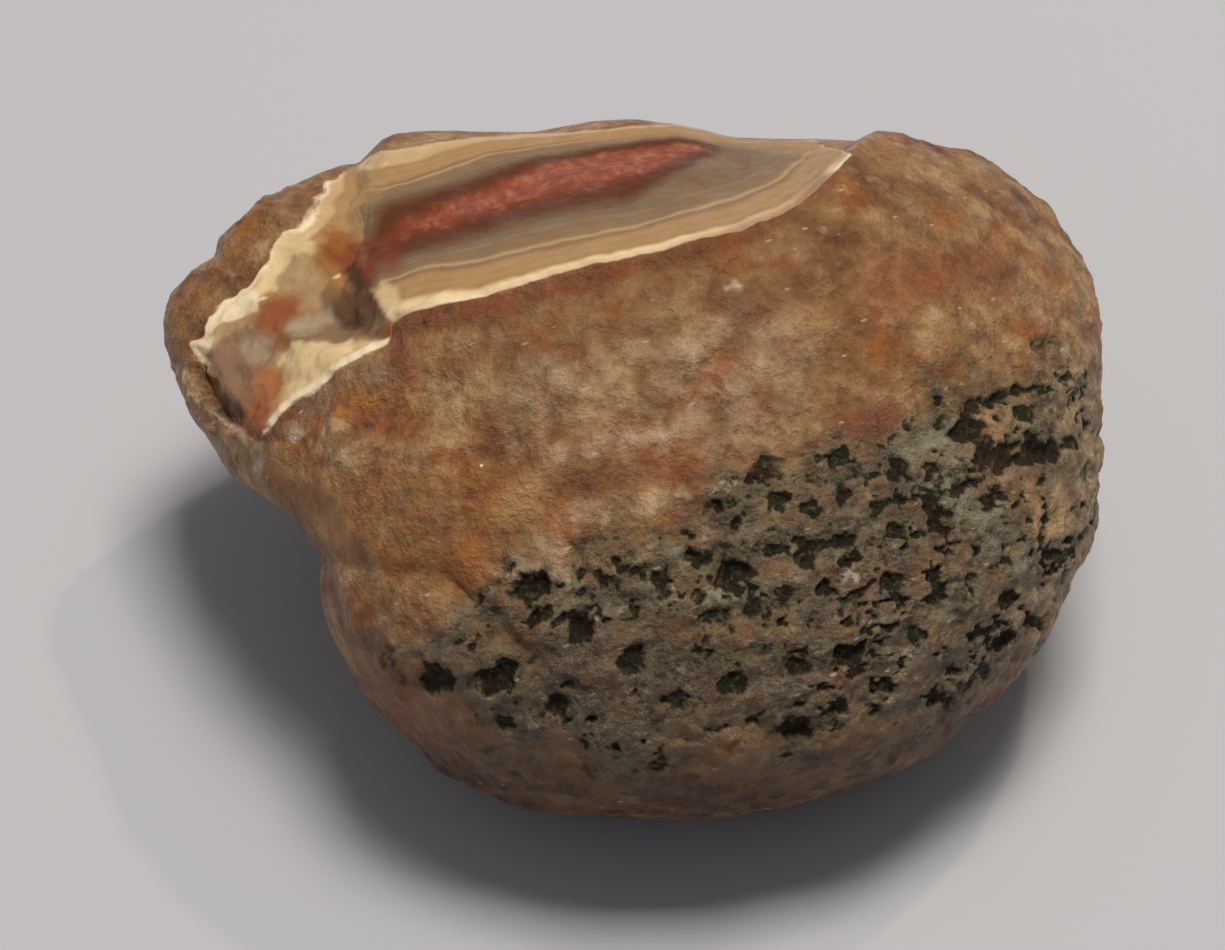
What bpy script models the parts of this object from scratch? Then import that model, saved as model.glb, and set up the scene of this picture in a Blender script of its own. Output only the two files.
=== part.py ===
"""A rough fortification agate: one river-worn nodule, broken open along its top and its left end.

The stone is described in its face frame, as if it were held up with its pitted side to the viewer:
x to the right, y up the face and z out of the face, in millimetres. It is then leaned back onto the
flat spot that it rests on, and scaled to metres, +Z up, with its origin under the middle of its box.
"""

import math

import bmesh
import bpy
import numpy as np
from mathutils import Matrix, Vector, noise
from mathutils.geometry import delaunay_2d_cdt

# Driving dimensions.
LENGTH = 0.061  # along X, from the broken end to the round end; every other number is in millimetres
LEAN_BACK = math.radians(45.0)  # how far the face is turned up from facing the viewer, about X
REST_HEIGHT = -18.2  # where the flat spot that it rests on lies, below the middle of the face
REST_WEAR = 0.4  # how much the ground has worn off the underside there

COLOUR = (0.195, 0.102, 0.051, 1.0)  # the brown rind, in linear RGB
ROUGHNESS = 0.45

# The worn nodule before it broke: its outline round the face, and its bulge out of the face and behind.
OUTLINE = [
    (30.4, 7.9), (30.2, 3.2), (29.4, -4.4), (28.2, -7.0), (25.6, -12.0), (22.9, -14.5),
    (20.2, -17.0), (16.1, -19.4), (10.7, -21.0), (4.3, -21.9), (-2.0, -21.8), (-8.4, -20.6),
    (-11.6, -19.4), (-14.6, -16.6), (-17.0, -13.7), (-18.4, -10.5), (-18.9, -7.1), (-20.9, -2.9),
    (-23.3, -1.8), (-25.2, -0.6), (-26.9, 1.6), (-28.9, 4.6), (-30.1, 7.0), (-31.0, 9.7),
    (-30.3, 12.1), (-28.7, 13.4), (-27.8, 13.9), (-26.6, 15.7), (-24.8, 17.1), (-21.9, 19.2),
    (-18.4, 21.4), (-14.0, 23.6), (-7.4, 25.3), (-0.8, 25.8), (5.8, 25.3), (11.9, 23.9),
    (16.2, 22.6), (20.2, 21.2), (24.1, 19.5), (26.6, 17.6), (28.4, 15.0), (29.8, 12.4),
]
FRONT_BULGE = 21.0
BACK_BULGE = 17.0
FRONT_FULLNESS = 2.3  # 2 gives an ellipse from the rim to the face, more gives a squarer shoulder
BACK_FULLNESS = 2.7
GIRDLE_DEPTH = -4.7  # where the outline lies in z at y = 0
GIRDLE_SLOPE = -0.25  # and how fast it goes back as y rises

# The window: the long break along the top. Its near edge follows the worn face, its far rim lies behind.
WINDOW_EDGE = [
    (-18.0, 9.0), (-15.5, 9.4), (-12.8, 10.3), (-9.7, 11.3), (-6.5, 12.1), (-2.0, 13.1), (1.1, 13.8),
    (4.3, 14.6), (6.9, 15.4), (9.4, 16.5), (10.7, 17.2), (11.9, 18.2), (13.2, 19.5), (14.4, 20.9),
    (16.5, 23.5),
]
WINDOW_RIM = [
    (-18.2, 20.4), (-16.8, 21.9), (-14.7, 22.5), (-11.3, 22.7), (-8.7, 22.5), (-6.0, 22.5), (-3.7, 23.0),
    (-1.4, 23.4), (1.8, 23.3), (4.4, 22.9), (6.8, 22.3), (9.8, 22.1), (13.0, 22.1), (16.3, 22.1),
    (20.0, 22.1),
]
RIM_DEPTH = -13.0

# The broken end: the corners of its facets, and the ridges that join them. A corner with no z lies on
# the worn face.
BREAK_CORNERS = {
    "rim": (-19.8, 19.3, -8.4), "notch": (-17.6, 20.2, -9.6), "side": (-16.6, 17.4, -5.2),
    "lobe_a": (-19.9, 16.5, -5.2), "lobe_b": (-21.1, 15.4, -4.6), "lobe_c": (-22.0, 15.0, -4.9),
    "lobe_d": (-23.9, 12.4, -3.7), "lobe_e": (-25.8, 10.9, -3.7), "lobe_f": (-26.9, 9.8, -3.4),
    "lobe_g": (-27.9, 8.1, -3.2), "lip_a": (-28.2, 6.0, -2.4), "lip_b": (-27.0, 4.3, -0.4),
    "lip_c": (-25.4, 2.6), "crack_a": (-27.4, 6.4, -3.4), "crack_b": (-26.0, 4.4, -1.2),
    "crack_c": (-24.6, 3.2, 1.4), "crack_d": (-23.4, 1.9), "shelf_a": (-22.5, 3.3), "shelf_b": (-21.7, 4.4),
    "shelf_c": (-19.8, 5.7), "shelf_d": (-17.9, 6.9), "shelf_e": (-15.6, 8.2), "edge": (-15.2, 9.4),
    "riser_a": (-16.2, 11.2, 5.6), "riser_b": (-16.8, 13.6, 1.4), "foot_a": (-17.2, 9.0, 4.6),
    "foot_b": (-18.4, 11.4, 0.9), "tongue_a": (-22.3, 5.4, 4.2), "tongue_b": (-22.3, 8.9, 1.2),
    "tongue_c": (-26.6, 7.7, -1.9), "tongue_d": (-25.8, 5.4, 0.7), "tongue_e": (-24.2, 3.7, 3.3),
    "ridge": (-23.6, 10.0, -0.7), "out_a": (-21.0, 21.0, -9.6), "out_b": (-25.5, 18.5, -9.0),
    "out_c": (-29.5, 14.8, -8.2), "out_d": (-32.5, 10.5, -7.4), "out_e": (-31.5, 5.5, -6.4),
    "out_f": (-29.0, 2.5, -4.2),
}
BREAK_RIDGES = [
    "notch rim lobe_a lobe_b lobe_c lobe_d lobe_e lobe_f lobe_g lip_a lip_b lip_c crack_d",
    "lobe_g crack_a crack_b crack_c crack_d shelf_a shelf_b shelf_c shelf_d shelf_e edge",
    "edge riser_a riser_b side notch", "foot_a foot_b tongue_b tongue_a shelf_a", "shelf_e foot_a",
    "foot_b riser_b", "riser_a foot_a", "foot_b side", "lobe_g tongue_c tongue_d tongue_e shelf_a",
    "tongue_c ridge tongue_b", "ridge foot_b lobe_a", "lobe_d ridge lobe_f",
    "rim out_a out_b out_c out_d out_e out_f lip_c", "lobe_c out_b", "lobe_e out_c", "lobe_g out_d",
    "lip_a out_e",
]

# Worn lumps and hollows of the face: (x, y, size along, size across, turned by, height). A negative
# height sinks.
SWELLS = [
    (-14.0, 4.0, 3.2, 2.0, 10.0, -0.9),
    (-17.5, 1.0, 2.6, 2.6, 0.0, 0.5),
    (-14.5, -9.5, 6.0, 4.0, -40.0, 0.8),
    (-3.0, 6.0, 6.0, 3.0, 20.0, 0.4),
]
# Creases: (points along, depth, width).
CREASES = [
    ([(-19.5, -5.4), (-15.0, -6.2), (-12.3, -6.3)], 0.5, 0.7),
    ([(-11.2, -7.2), (-8.4, -9.6), (-5.4, -12.5)], 0.7, 0.6),
]
# Pits: (x, y, radius), drawn out along rows that rise to the right.
PIT_ROWS = math.radians(18.0)
PITS = [
    (26.1, 8.0, 0.6), (21.5, 2.5, 1.0), (19.6, 4.8, 0.6), (25.0, 3.7, 0.6), (26.2, 1.1, 0.8),
    (9.0, 0.3, 0.9), (13.3, 0.8, 0.7), (5.1, -2.3, 0.8), (13.7, -1.5, 0.7), (6.4, -6.8, 1.1),
    (11.0, -5.7, 0.7), (17.0, -3.9, 0.7), (-6.6, -7.6, 1.2), (-3.2, -10.3, 0.8), (-0.1, -12.1, 0.8),
    (1.9, -7.2, 0.6), (3.7, -8.3, 0.6), (14.0, -11.7, 0.8), (10.5, -16.6, 0.9), (-12.3, -13.1, 1.0),
    (-8.4, -13.1, 1.0), (-4.8, -15.1, 0.8), (6.4, -13.7, 0.8), (24.1, -8.4, 0.8), (19.2, -6.5, 0.6),
    (19.4, -14.5, 0.6), (16.6, -9.2, 0.6),
]


def curve_through(table, xs, column=1):
    """A smooth curve through the table's points, read at xs."""
    table = np.array(table, float)
    x, y = table[:, 0], table[:, column]
    slope = np.gradient(y, x)
    i = np.clip(np.searchsorted(x, xs) - 1, 0, len(x) - 2)
    span = x[i + 1] - x[i]
    t = np.clip((xs - x[i]) / span, 0.0, 1.0)
    return (
        (2 * t**3 - 3 * t**2 + 1) * y[i]
        + (t**3 - 2 * t**2 + t) * span * slope[i]
        + (3 * t**2 - 2 * t**3) * y[i + 1]
        + (t**3 - t**2) * span * slope[i + 1]
    )


def smooth_max(a, b, width):
    """The larger of a and b, with the corner between them rounded over the width."""
    near = np.clip(1 - np.abs(a - b) / width, 0.0, 1.0)
    return np.maximum(a, b) + near**2 * width / 4


def outline_reach(angle, rim):
    """How far the outline lies from the middle at each angle. Its small wobbles fade away from the rim."""
    points = np.array(OUTLINE)
    bearing = np.arctan2(points[:, 1], points[:, 0])
    order = np.argsort(bearing)
    bearing, reach = bearing[order], np.hypot(*points[order].T)
    turn = 2 * math.pi
    table = np.column_stack([
        np.concatenate([bearing[-3:] - turn, bearing, bearing[:3] + turn]),
        np.concatenate([reach[-3:], reach, reach[:3]]),
    ])
    sharp = curve_through(table, angle)
    even = np.linspace(-math.pi, math.pi, 73)
    waves = np.fft.rfft(curve_through(table, even[:-1]))
    waves *= np.exp(-((np.arange(len(waves)) / 3.2) ** 2))
    soft = np.interp(angle, even, np.append(np.fft.irfft(waves, 72), np.fft.irfft(waves, 72)[0]))
    return soft + (sharp - soft) * rim


def beyond_worn(x, y, z):
    """How far a point lies outside the worn nodule, in millimetres, roughly."""
    up = z - GIRDLE_DEPTH - GIRDLE_SLOPE * y
    bulge = np.where(up > 0, FRONT_BULGE, BACK_BULGE)
    rim = np.clip(1.15 - np.abs(up) / bulge * 1.5, 0.0, 1.0)
    reach = outline_reach(np.arctan2(y, x), rim)
    fullness = np.where(up > 0, FRONT_FULLNESS, BACK_FULLNESS)
    size = (np.hypot(x, y) / reach) ** fullness + (np.abs(up) / bulge) ** fullness
    beyond = (size ** (1 / fullness) - 1) * 20
    lobe = -0.619 * x + 0.474 * y + 0.626 * z - 20.6
    return smooth_max(beyond, lobe, 4.0)


def worn_front(x, y):
    """The z of the worn nodule's face."""
    low, high = np.full(np.shape(x), -14.0), np.full(np.shape(x), 30.0)
    for _ in range(24):
        z = (low + high) / 2
        outside = beyond_worn(x, y, z) > 0
        low, high = np.where(outside, low, z), np.where(outside, z, high)
    return (low + high) / 2


def beyond_window(x, y, z, edge):
    """How far a point lies above the window. The edge table holds x, y and z along the near edge."""
    near_y, near_z = curve_through(edge, x, 1), curve_through(edge, x, 2)
    far_y = curve_through(WINDOW_RIM, x)
    slope = (far_y - near_y) / (near_z - RIM_DEPTH)
    return smooth_max(y - near_y - slope * (near_z - z), y - far_y, 1.2) * 0.9


def break_facets():
    """The broken end's facets, as triangles of corners."""
    names = list(BREAK_CORNERS)
    x, y = np.array([BREAK_CORNERS[name][:2] for name in names]).T
    corners = np.column_stack([x, y, worn_front(x, y)])
    for corner, name in zip(corners, names):
        corner[: len(BREAK_CORNERS[name])] = BREAK_CORNERS[name]
    edges = []
    for chain in BREAK_RIDGES:
        chain = [names.index(name) for name in chain.split()]
        edges += zip(chain, chain[1:])
    faces = delaunay_2d_cdt([Vector(c[:2]) for c in corners], edges, [], 1, 1e-6)[2]
    return [corners[list(face)] for face in faces]


def break_height(x, y, facets):
    """The z of the broken end's surface, and far out in front where it isn't broken."""
    height = np.full(x.shape, 99.0)
    for a, b, c in facets:
        across = (b[0] - a[0]) * (c[1] - a[1]) - (c[0] - a[0]) * (b[1] - a[1])
        s = ((x - a[0]) * (c[1] - a[1]) - (c[0] - a[0]) * (y - a[1])) / across
        t = ((b[0] - a[0]) * (y - a[1]) - (x - a[0]) * (b[1] - a[1])) / across
        inside = (s > -1e-6) & (t > -1e-6) & (s + t < 1 + 1e-6)
        height = np.where(inside, a[2] + s * (b[2] - a[2]) + t * (c[2] - a[2]), height)
    return height


def distance_to_line(x, y, points):
    """The distance in the face view to a line through the points."""
    nearest = np.full(x.shape, 1e3)
    for a, b in zip(np.array(points[:-1]), np.array(points[1:])):
        run = b - a
        along = np.clip(((x - a[0]) * run[0] + (y - a[1]) * run[1]) / (run @ run), 0.0, 1.0)
        away = np.hypot(x - a[0] - along * run[0], y - a[1] - along * run[1])
        nearest = np.minimum(nearest, away)
    return nearest


def face_relief(x, y):
    """How far the worn face is raised by its swells, and sunk by its creases and pits."""
    relief = np.zeros(x.shape)
    for cx, cy, along, across, turn, height in SWELLS:
        turn = math.radians(turn)
        a = ((x - cx) * math.cos(turn) + (y - cy) * math.sin(turn)) / along
        b = ((y - cy) * math.cos(turn) - (x - cx) * math.sin(turn)) / across
        relief += height * np.exp(-(a**2) - b**2)
    for points, depth, width in CREASES:
        relief -= depth * np.exp(-((distance_to_line(x, y, points) / width) ** 2))
    points = np.column_stack([x, y, 0 * x])
    x, y = x + 0.45 * ripple(points, 1.0, 3), y + 0.45 * ripple(points, 1.0, 4)
    for cx, cy, radius in PITS:
        along = (x - cx) * math.cos(PIT_ROWS) + (y - cy) * math.sin(PIT_ROWS)
        across = (y - cy) * math.cos(PIT_ROWS) - (x - cx) * math.sin(PIT_ROWS)
        away = np.hypot(along / 1.35, across) / radius
        relief -= 0.9 * radius * np.clip(1.7 - 1.7 * away**2, 0.0, 1.0)
    return relief


def ripple(points, size, seed):
    """Even random undulation of about plus or minus one, with lumps of the given size."""
    shift = Vector((seed * 7.3, seed * 3.1, seed * 5.7))
    return np.array([noise.noise(Vector(p) / size + shift) for p in points])


class Stone:
    """The stone's surface, as a point for each direction from its middle."""

    def __init__(self):
        x, y = np.array(WINDOW_EDGE).T
        self.edge = np.column_stack([x, y, np.maximum(worn_front(x, y), RIM_DEPTH + 3)])
        self.facets = break_facets()
        self.middle = np.array([0.0, 0.0, GIRDLE_DEPTH])

    def beyond(self, points):
        x, y, z = points.T
        worn = beyond_worn(x, y, z)
        window = beyond_window(x, y, z, self.edge)
        broken = (z - break_height(x, y, self.facets)) * 0.8
        under = REST_HEIGHT - REST_WEAR - y * math.sin(LEAN_BACK) - z * math.cos(LEAN_BACK)
        return smooth_max(smooth_max(smooth_max(worn, under, 2.5), window, 0.6), broken, 0.25)

    def points(self, directions):
        """The finished surface in each direction, in the face frame."""
        low, high = np.full(len(directions), 4.0), np.full(len(directions), 42.0)
        for _ in range(22):
            reach = (low + high) / 2
            outside = self.beyond(self.middle + directions * reach[:, None]) > 0
            low, high = np.where(outside, low, reach), np.where(outside, reach, high)
        points = self.middle + directions * ((low + high) / 2)[:, None]
        x, y, z = points.T
        face = np.clip((z - worn_front(x, y)) / 0.5 + 1.6, 0.0, 1.0)
        shift = face_relief(x, y) * face
        shift += 0.35 * ripple(points, 7.0, 1) + 0.15 * ripple(points, 2.6, 2)
        return points + directions * shift[:, None]


def lean_back(points):
    """From the face frame to the frame that the stone rests in."""
    return points @ np.array(Matrix.Rotation(LEAN_BACK, 3, "X")).T


def directions_of(mesh):
    return np.array([v.co.normalized() for v in mesh.verts])


def refined_sphere(stone, subdivisions, coarsest_step, passes):
    """A sphere of directions, split finer wherever the stone's surface bends between its points."""
    mesh = bmesh.new()
    bmesh.ops.create_icosphere(mesh, subdivisions=subdivisions, radius=1.0)
    for _ in range(passes):
        surface = stone.points(directions_of(mesh))
        mesh.verts.index_update()
        ends = np.array([[v.index for v in edge.verts] for edge in mesh.edges])
        middles = directions_of(mesh)[ends].mean(1)
        middles /= np.linalg.norm(middles, axis=1)[:, None]
        chord = surface[ends].mean(1)
        length = np.linalg.norm(surface[ends[:, 0]] - surface[ends[:, 1]], axis=1)
        miss = np.linalg.norm(stone.points(middles) - chord, axis=1)
        mesh.edges.ensure_lookup_table()
        bent = {mesh.edges[i] for i in np.where((miss > coarsest_step) & (length > 0.45))[0]}
        faces = {face for edge in bent for face in edge.link_faces}
        edges = {edge for face in faces for edge in face.edges if edge.calc_length() > 0.012}
        bmesh.ops.subdivide_edges(mesh, edges=list(edges), cuts=1, use_grid_fill=True)
        bmesh.ops.triangulate(mesh, faces=mesh.faces)
    return mesh


def join_rest(mesh):
    """Join the small triangles of the flat that the stone rests on into a few large ones."""
    flat = [face for face in mesh.faces if all(vertex.co.z < 1e-7 for vertex in face.verts)]
    rest = bmesh.ops.dissolve_faces(mesh, faces=flat)["region"]
    bmesh.ops.triangulate(mesh, faces=rest, ngon_method="BEAUTY")


def chalcedony():
    """Brown chalcedony with a waxy shine, the material of the whole stone."""
    material = bpy.data.materials.new("agate")
    material.use_nodes = True
    shader = material.node_tree.nodes["Principled BSDF"]
    shader.inputs["Base Color"].default_value = COLOUR
    shader.inputs["Roughness"].default_value = ROUGHNESS
    shader.inputs["Metallic"].default_value = 0.0
    return material


def make_nodule(subdivisions=4, coarsest_step=0.11, passes=3):
    """The agate: a sphere whose points are drawn out to the stone's surface."""
    stone = Stone()
    mesh = refined_sphere(stone, subdivisions, coarsest_step, passes)
    points = lean_back(stone.points(directions_of(mesh)))
    points[:, 2] = np.maximum(points[:, 2], REST_HEIGHT)
    points *= LENGTH / np.ptp(points[:, 0])
    low, high = points.min(0), points.max(0)
    points -= [(low[0] + high[0]) / 2, (low[1] + high[1]) / 2, low[2]]
    for vertex, point in zip(mesh.verts, points):
        vertex.co = point
    join_rest(mesh)
    data = bpy.data.meshes.new("agate_nodule")
    mesh.to_mesh(data)
    mesh.free()
    data.materials.append(chalcedony())
    nodule = bpy.data.objects.new("agate_nodule", data)
    bpy.context.scene.collection.objects.link(nodule)
    return nodule


def clear_scene():
    for old in list(bpy.data.objects):
        bpy.data.objects.remove(old)


def main():
    clear_scene()
    make_nodule()


main()
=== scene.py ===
# %% [markdown]
# # A rough fortification agate
#
# Agate is chalcedony, a quartz too fine to show crystals, laid down in bands inside a gas bubble of old
# lava. This nodule has lain in a river. Its brown skin, the rind, is worn round and waxy, its lower face
# is eaten by small pits that hold a green-black clay, and a long break along the top shows the bands.
#
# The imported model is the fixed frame. It gives the stone's size and the body that the stone rides on.

# %% Load the frame
import math

import bmesh
import bpy
import numpy as np
from mathutils import Matrix, Vector, noise
from mathutils.geometry import delaunay_2d_cdt


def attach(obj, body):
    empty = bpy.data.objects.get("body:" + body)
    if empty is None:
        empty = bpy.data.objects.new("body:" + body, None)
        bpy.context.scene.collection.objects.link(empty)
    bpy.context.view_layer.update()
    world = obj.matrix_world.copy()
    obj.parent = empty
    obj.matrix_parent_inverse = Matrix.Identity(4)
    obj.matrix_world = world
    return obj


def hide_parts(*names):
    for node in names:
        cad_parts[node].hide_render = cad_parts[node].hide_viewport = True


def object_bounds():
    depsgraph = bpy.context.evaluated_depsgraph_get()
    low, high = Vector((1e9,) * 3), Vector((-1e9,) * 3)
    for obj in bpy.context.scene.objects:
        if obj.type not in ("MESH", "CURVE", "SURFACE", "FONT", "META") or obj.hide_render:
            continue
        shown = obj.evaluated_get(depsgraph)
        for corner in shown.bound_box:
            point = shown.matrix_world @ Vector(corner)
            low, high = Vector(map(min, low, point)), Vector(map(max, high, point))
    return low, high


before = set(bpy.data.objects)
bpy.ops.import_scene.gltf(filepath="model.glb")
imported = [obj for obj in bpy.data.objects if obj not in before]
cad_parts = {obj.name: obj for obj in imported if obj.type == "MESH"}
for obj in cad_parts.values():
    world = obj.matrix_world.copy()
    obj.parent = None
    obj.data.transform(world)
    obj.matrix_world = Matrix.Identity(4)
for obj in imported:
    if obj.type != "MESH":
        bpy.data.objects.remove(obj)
cad_box = [list(corner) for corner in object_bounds()]
MM = 0.001
print("box of the packed stone in mm:", np.round(np.array(cad_box) / MM, 1).tolist())

# %% [markdown]
# ## Where the numbers live
#
# A stone has no straight edge to measure from, so every place on it is given in the face frame. Hold the
# stone with its pitted side to you: x runs right, y up and z out towards you, all in millimetres. It lies
# leaned back by 45 degrees and the camera looks down by as much, so it looks straight along z.

# %% The face frame
LEAN_BACK = math.radians(45.0)
VIEW_DISTANCE = 320.0
REST_HEIGHT = -18.2


def lean_back(points):
    """From the face frame to the frame that the stone rests in."""
    return points @ np.array(Matrix.Rotation(LEAN_BACK, 3, "X")).T


def as_seen(points):
    """Where points of the face frame show, on the plane through its middle that faces the camera."""
    nearer = VIEW_DISTANCE / (VIEW_DISTANCE - points[:, 2])
    return points[:, 0] * nearer, points[:, 1] * nearer


# %% [markdown]
# ## Small tools for shapes
#
# Four tools do most of the shaping: a smooth curve through a few points, a rounded corner between two
# surfaces, the distance to a drawn line, and how far inside a closed one a point lies. Others make random
# relief, as even lumps or shallow bowls. All work on whole arrays.

# %% Curves, corners and distances
def curve_through(table, xs, column=1):
    """A smooth curve through the table's points, read at xs."""
    table = np.array(table, float)
    x, y = table[:, 0], table[:, column]
    slope = np.gradient(y, x)
    i = np.clip(np.searchsorted(x, xs) - 1, 0, len(x) - 2)
    span = x[i + 1] - x[i]
    t = np.clip((xs - x[i]) / span, 0.0, 1.0)
    return (
        (2 * t**3 - 3 * t**2 + 1) * y[i]
        + (t**3 - 2 * t**2 + t) * span * slope[i]
        + (3 * t**2 - 2 * t**3) * y[i + 1]
        + (t**3 - t**2) * span * slope[i + 1]
    )


def smooth_max(a, b, width):
    """The larger of a and b, with the corner between them rounded over the width."""
    near = np.clip(1 - np.abs(a - b) / width, 0.0, 1.0)
    return np.maximum(a, b) + near**2 * width / 4


def ease(low, high, value):
    """0 below low, 1 above high, and an easy slope between."""
    t = np.clip((value - low) / (high - low), 0.0, 1.0)
    return t * t * (3 - 2 * t)


def distance_to_line(x, y, points):
    """The distance to a line through the points."""
    nearest = np.full(x.shape, 1e3)
    for a, b in zip(np.array(points[:-1], float), np.array(points[1:], float)):
        run = b - a
        along = np.clip(((x - a[0]) * run[0] + (y - a[1]) * run[1]) / max(run @ run, 1e-9), 0.0, 1.0)
        nearest = np.minimum(nearest, np.hypot(x - a[0] - along * run[0], y - a[1] - along * run[1]))
    return nearest


def distance_inside(x, y, outline):
    """How far inside a closed outline a point lies, negative outside it."""
    crossed = np.zeros(x.shape, bool)
    for (ax, ay), (bx, by) in zip(outline, outline[1:] + outline[:1]):
        if ay != by:
            crossed ^= ((ay > y) != (by > y)) & (x < ax + (y - ay) * (bx - ax) / (by - ay))
    return distance_to_line(x, y, outline + outline[:1]) * np.where(crossed, 1.0, -1.0)


def ripple(points, size, seed):
    """Even random undulation of about plus or minus one, with lumps of the given size."""
    shift = Vector((seed * 7.3, seed * 3.1, seed * 5.7))
    return np.array([noise.noise(Vector(p) / size + shift) for p in points])


def wobble(points, coarse, fine, seeds):
    """A coarse ripple with a fine one on it. Each is a height and a size."""
    return sum(height * ripple(points, size, seed) for (height, size), seed in zip((coarse, fine), seeds))


def dimples(points, size, seed):
    """Shallow bowls set side by side like cells: 0 at the middle of a bowl, about 1 on the rims between."""
    shift = Vector((seed * 7.3, seed * 3.1, seed * 5.7))
    return np.array([noise.voronoi(Vector(p) / size + shift)[0][0] for p in points])


# %% [markdown]
# ## The worn nodule
#
# Rivers round a stone, so the body is one closed form: an outline seen from the face, filled out in front
# and behind like a cushion. The outline is a list of points, because no formula gives a stone its corners.
# Its small wobbles belong to the rim alone, so they are smoothed away towards the face. One flat plane
# with a soft edge trims the upper left shoulder.

# %% The nodule before it broke
OUTLINE = [
    (30.4, 7.9), (30.2, 3.2), (29.4, -4.4), (28.2, -7), (25.6, -12), (22.9, -14.5),
    (20.2, -17), (16.1, -19.4), (10.7, -21), (4.3, -21.9), (-2, -21.8), (-8.4, -20.6),
    (-11.6, -19.4), (-14.6, -16.6), (-17, -13.7), (-18.4, -10.5), (-18.9, -7.1), (-20.9, -2.9),
    (-23.3, -1.8), (-25.2, -0.6), (-26.9, 1.6), (-28.9, 4.6), (-30.1, 7), (-31, 9.7),
    (-30.3, 12.1), (-28.7, 13.4), (-27.8, 13.9), (-26.6, 15.7), (-24.8, 17.1), (-21.9, 19.2),
    (-18.4, 21.4), (-14, 23.6), (-7.4, 25.3), (-0.8, 25.8), (5.8, 25.3), (11.9, 23.9),
    (16.2, 22.6), (20.2, 21.2), (24.1, 19.5), (26.6, 17.6), (28.4, 15), (29.8, 12.4),
]
FRONT_BULGE, BACK_BULGE = 21.0, 17.0
FRONT_FULLNESS, BACK_FULLNESS = 2.3, 2.7
GIRDLE_DEPTH, GIRDLE_SLOPE = -4.7, -0.25
BODY_SIZE = 20.0
SHOULDER_FACING, SHOULDER_DISTANCE, SHOULDER_BLEND = (-0.619, 0.474, 0.626), 20.6, 4.0
SOFT_STEPS, SOFT_WAVES = 72, 3.2
WOBBLE_KEPT, WOBBLE_FADE = 1.15, 1.5
FACE_SPAN, FACE_HALVINGS = (-14.0, 30.0), 24


def outline_reach(angle, rim):
    """How far the outline lies from the middle at each angle. Its small wobbles fade away from the rim."""
    points = np.array(OUTLINE)
    bearing = np.arctan2(points[:, 1], points[:, 0])
    order = np.argsort(bearing)
    bearing, reach = bearing[order], np.hypot(*points[order].T)
    turn = 2 * math.pi
    table = np.column_stack([
        np.concatenate([bearing[-3:] - turn, bearing, bearing[:3] + turn]),
        np.concatenate([reach[-3:], reach, reach[:3]]),
    ])
    sharp = curve_through(table, angle)
    even = np.linspace(-math.pi, math.pi, SOFT_STEPS + 1)
    waves = np.fft.rfft(curve_through(table, even[:-1]))
    waves *= np.exp(-((np.arange(len(waves)) / SOFT_WAVES) ** 2))
    smoothed = np.fft.irfft(waves, SOFT_STEPS)
    soft = np.interp(angle, even, np.append(smoothed, smoothed[0]))
    return soft + (sharp - soft) * rim


def beyond_worn(x, y, z):
    """How far a point lies outside the worn nodule, in millimetres, roughly."""
    up = z - GIRDLE_DEPTH - GIRDLE_SLOPE * y
    bulge = np.where(up > 0, FRONT_BULGE, BACK_BULGE)
    rim = np.clip(WOBBLE_KEPT - np.abs(up) / bulge * WOBBLE_FADE, 0.0, 1.0)
    reach = outline_reach(np.arctan2(y, x), rim)
    fullness = np.where(up > 0, FRONT_FULLNESS, BACK_FULLNESS)
    size = (np.hypot(x, y) / reach) ** fullness + (np.abs(up) / bulge) ** fullness
    beyond = (size ** (1 / fullness) - 1) * BODY_SIZE
    out_x, out_y, out_z = SHOULDER_FACING
    shoulder = out_x * x + out_y * y + out_z * z - SHOULDER_DISTANCE
    return smooth_max(beyond, shoulder, SHOULDER_BLEND)


def worn_front(x, y):
    """The z of the worn nodule's face."""
    low, high = np.full(np.shape(x), FACE_SPAN[0]), np.full(np.shape(x), FACE_SPAN[1])
    for _ in range(FACE_HALVINGS):
        z = (low + high) / 2
        outside = beyond_worn(x, y, z) > 0
        low, high = np.where(outside, low, z), np.where(outside, z, high)
    return (low + high) / 2


middle_z = worn_front(np.zeros(1), np.zeros(1))[0]
print("the face stands", round(float(middle_z), 1), "mm out at its middle")

# %% [markdown]
# ## The window
#
# Collectors call a break that shows the bands a window. This one is close to a plane, leaned back from the
# worn face. It is fixed by two drawn lines, the near edge on the face and the far rim behind. At each
# place along the stone the surface is the straight line from one to the other.

# %% The break along the top
WINDOW_EDGE = [
    (-18, 9), (-15.5, 9.4), (-12.8, 10.3), (-9.7, 11.3), (-6.5, 12.1), (-2, 13.1), (1.1, 13.8),
    (4.3, 14.6), (6.9, 15.4), (9.4, 16.5), (10.7, 17.2), (11.9, 18.2), (13.2, 19.5), (14.4, 20.9),
    (16.5, 23.5),
]
WINDOW_RIM = [
    (-18.2, 20.4), (-16.8, 21.9), (-14.7, 22.5), (-11.3, 22.7), (-8.7, 22.5), (-6, 22.5), (-3.7, 23),
    (-1.4, 23.4), (1.8, 23.3), (4.4, 22.9), (6.8, 22.3), (9.8, 22.1), (13, 22.1), (16.3, 22.1),
    (20, 22.1),
]
RIM_DEPTH = -13.0
RIM_BLEND = 1.2
WINDOW_TILT, BREAK_TILT = 0.9, 0.8  # times a height over a tilted face: roughly the distance


def beyond_window(x, y, z, edge):
    """Roughly how far a point lies above the window. The edge table holds x, y and z along the near edge."""
    near_y, near_z = curve_through(edge, x, 1), curve_through(edge, x, 2)
    far_y = curve_through(WINDOW_RIM, x)
    slope = (far_y - near_y) / (near_z - RIM_DEPTH)
    return smooth_max(y - near_y - slope * (near_z - z), y - far_y, RIM_BLEND) * WINDOW_TILT


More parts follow.
